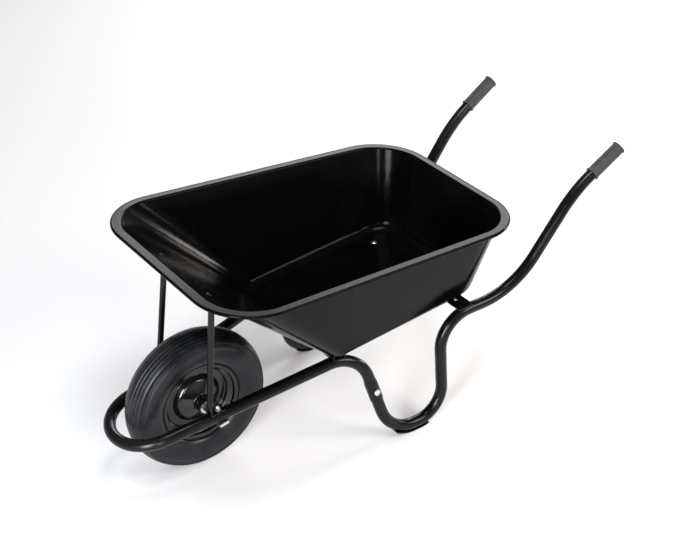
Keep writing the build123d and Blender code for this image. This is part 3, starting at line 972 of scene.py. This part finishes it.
# ---------------------------------------------------------------- studio
@dataclass
class Softbox:
    """One soft area light."""

    name: str
    place: tuple[float, float, float]
    aim: tuple[float, float, float]
    size: tuple[float, float]
    power: float
    colour: Colour = (1.0, 1.0, 1.0)

    def hang(self) -> None:
        """Hang the light and aim it."""
        lamp = bpy.data.lights.new(self.name, "AREA")
        lamp.shape = "RECTANGLE"
        lamp.size, lamp.size_y = self.size
        lamp.energy = self.power
        lamp.color = self.colour
        holder = bpy.data.objects.new(self.name, lamp)
        bpy.context.scene.collection.objects.link(holder)
        holder.location = self.place
        holder.rotation_euler = (Vector(self.aim) - Vector(self.place)).to_track_quat("-Z", "Y").to_euler()


@dataclass
class Studio:
    """Pale floor, soft lights and the camera."""

    floor_size: float = 60.0
    floor_colour: Colour = (0.70, 0.703, 0.712)
    zenith: Colour = (0.32, 0.32, 0.33)
    horizon: Colour = (0.80, 0.80, 0.79)
    camera_place: tuple[float, float, float] = (1.9118, 2.6626, 2.4395)
    heading_degrees: float = 234.110
    pitch_degrees: float = 32.24
    lens: float = 74.75
    softboxes: tuple[Softbox, ...] = (
        Softbox("overhead", (0.3, 0.5, 3.2), (0, 0, 0.4), (1.0, 0.8), 42.0),
        Softbox("back_wall", (-2.6, -3.0, 2.4), (0, 0, 0.5), (3.0, 1.4), 110.0),
        Softbox("front_left", (2.6, 1.75, 1.15), (0, 0, 0.5), (0.75, 1.7), 140.0, (0.94, 0.96, 1.0)),
        Softbox("front_strip", (1.7, 3.0, 1.2), (0, 0, 0.5), (0.25, 1.5), 30.0, (0.94, 0.96, 1.0)),
        Softbox("warm", (-1.5, 2.3, 1.95), (0.1, 0, 0.3), (1.6, 1.1), 65.0, (1.0, 0.90, 0.82)),
        Softbox("rear", (-3.6, 0.2, 1.25), (0.3, -0.1, 0.5), (0.9, 1.0), 95.0, (1.0, 0.92, 0.84)),
    )

    def lay_floor(self) -> None:
        """Lay the floor under the barrow."""
        Bench.clear()
        bpy.ops.mesh.primitive_plane_add(size=self.floor_size, location=(0, 0, 0))
        floor = bpy.context.object
        floor.name = "studio_floor"
        paint = Painter("floor_paint")
        paint.set(Base_Color=self.floor_colour, Roughness=0.9, Specular_IOR_Level=0.1)
        floor.data.materials.append(paint.material)

    def light(self) -> None:
        """Light the sky and hang the softboxes."""
        world = bpy.data.worlds.new("studio_sky")
        world.use_nodes = True
        tree = world.node_tree
        ray = tree.nodes.new("ShaderNodeTexCoord")
        parts = tree.nodes.new("ShaderNodeSeparateXYZ")
        ramp = tree.nodes.new("ShaderNodeValToRGB")
        ramp.color_ramp.elements[0].color = (*self.horizon, 1.0)
        ramp.color_ramp.elements[1].color = (*self.zenith, 1.0)
        ramp.color_ramp.elements[1].position = 0.35
        tree.links.new(ray.outputs["Generated"], parts.inputs[0])
        tree.links.new(parts.outputs["Z"], ramp.inputs[0])
        tree.links.new(ramp.outputs[0], tree.nodes["Background"].inputs["Color"])
        bpy.context.scene.world = world
        for softbox in self.softboxes:
            softbox.hang()

    def place_camera(self) -> None:
        """Set the camera at its stand."""
        lens = bpy.data.cameras.new("stand_camera")
        lens.lens = self.lens
        lens.sensor_width = 36.0
        lens.clip_end = 100.0
        camera = bpy.data.objects.new("stand_camera", lens)
        bpy.context.scene.collection.objects.link(camera)
        camera.location = self.camera_place
        heading = math.radians(self.heading_degrees)
        camera.rotation_euler = (math.radians(90 - self.pitch_degrees), 0.0, heading - math.pi / 2)
        bpy.context.scene.camera = camera

    def build(self) -> None:
        """Set up the whole studio."""
        self.lay_floor()
        self.light()
        self.place_camera()
        bpy.context.scene.view_settings.view_transform = "Standard"


# ---------------------------------------------------------------- making
def dress_frame(shop: Workshop) -> None:
    """Give every shown frame node its finish.

    Args:
        shop: the finishes.
    """
    for part in frame["record"]["subparts"]:
        shop.dress(frame["nodes"][part["node"]], part["material_slot"])
        LOG.info("dressed %s in %s", part["node"], part["material_slot"])


def main() -> None:
    """Dress the frame, model the new pieces and set up the studio."""
    logging.basicConfig(level=logging.INFO, format="%(name)s: %(message)s")
    shop = Workshop.mixed()
    dress_frame(shop)
    made = Tyre().build(shop)
    made += [Grip(side).build(shop) for side in ("left", "right")]
    made += Fasteners().build(shop)
    for piece in made:
        LOG.info("made %s with %d faces", piece.name, len(piece.data.polygons))
    Studio().build()


if __name__ == "__main__":
    main()
